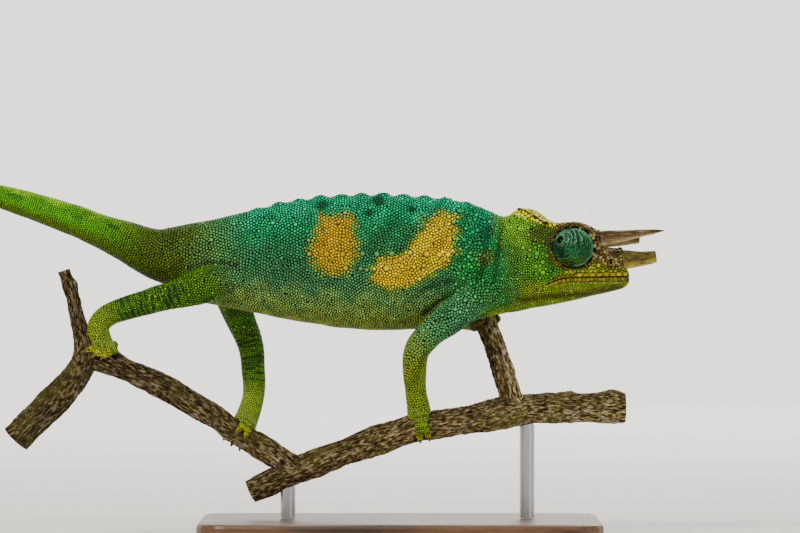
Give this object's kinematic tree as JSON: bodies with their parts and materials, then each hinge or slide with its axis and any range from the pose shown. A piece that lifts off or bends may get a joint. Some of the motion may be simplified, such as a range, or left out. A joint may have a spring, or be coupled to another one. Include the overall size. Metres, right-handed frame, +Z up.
{
  "type": "three-horned chameleon",
  "caption": "Life-size scaly chameleon with nose and brow horns and a curled tail, walking along a forked perch on rods above a flat base.",
  "frame": {"origin": "centre of the flat underside of the stand's base", "axes": "+X towards the snout, +Y towards the animal's left side, +Z up"},
  "size_m": [0.2535, 0.074, 0.1189],
  "materials": {
    "scaly_skin": "green reptile skin covered in small domed scales, with yellow patches",
    "eyelid_skin": "dark green lids of very fine granular scales",
    "wet_eye": "wet and glossy",
    "horn": "keratin with low growth rings",
    "bark": "rough weathered bark",
    "base_wood": "oiled walnut",
    "rod_steel": "satin"
  },
  "bodies": {
    "root": {"head": "scaly_skin", "lower_jaw": "scaly_skin", "neck": "scaly_skin", "torso": "scaly_skin", "pelvis": "scaly_skin", "tail_1": "scaly_skin", "tail_2": "scaly_skin", "tail_3": "scaly_skin", "tail_4": "scaly_skin", "tail_5": "scaly_skin", "tail_6": "scaly_skin", "tail_7": "scaly_skin", "upper_arm_right": "scaly_skin", "forearm_right": "scaly_skin", "hand_right": "scaly_skin", "upper_arm_left": "scaly_skin", "forearm_left": "scaly_skin", "hand_left": "scaly_skin", "thigh_right": "scaly_skin", "shank_right": "scaly_skin", "foot_right": "scaly_skin", "thigh_left": "scaly_skin", "shank_left": "scaly_skin", "foot_left": "scaly_skin", "eye_turret_right": "eyelid_skin", "eye_turret_left": "eyelid_skin", "eyeball_right": "wet_eye", "eyeball_left": "wet_eye", "horn_snout": "horn", "horn_brow_right": "horn", "horn_brow_left": "horn", "perch_front": "bark", "perch_rear": "bark", "perch_fork": "bark", "perch_front_twig": "bark", "stand_base": "base_wood", "stand_rod_rear": "rod_steel", "stand_rod_front": "rod_steel"}
  },
  "joints": []
}
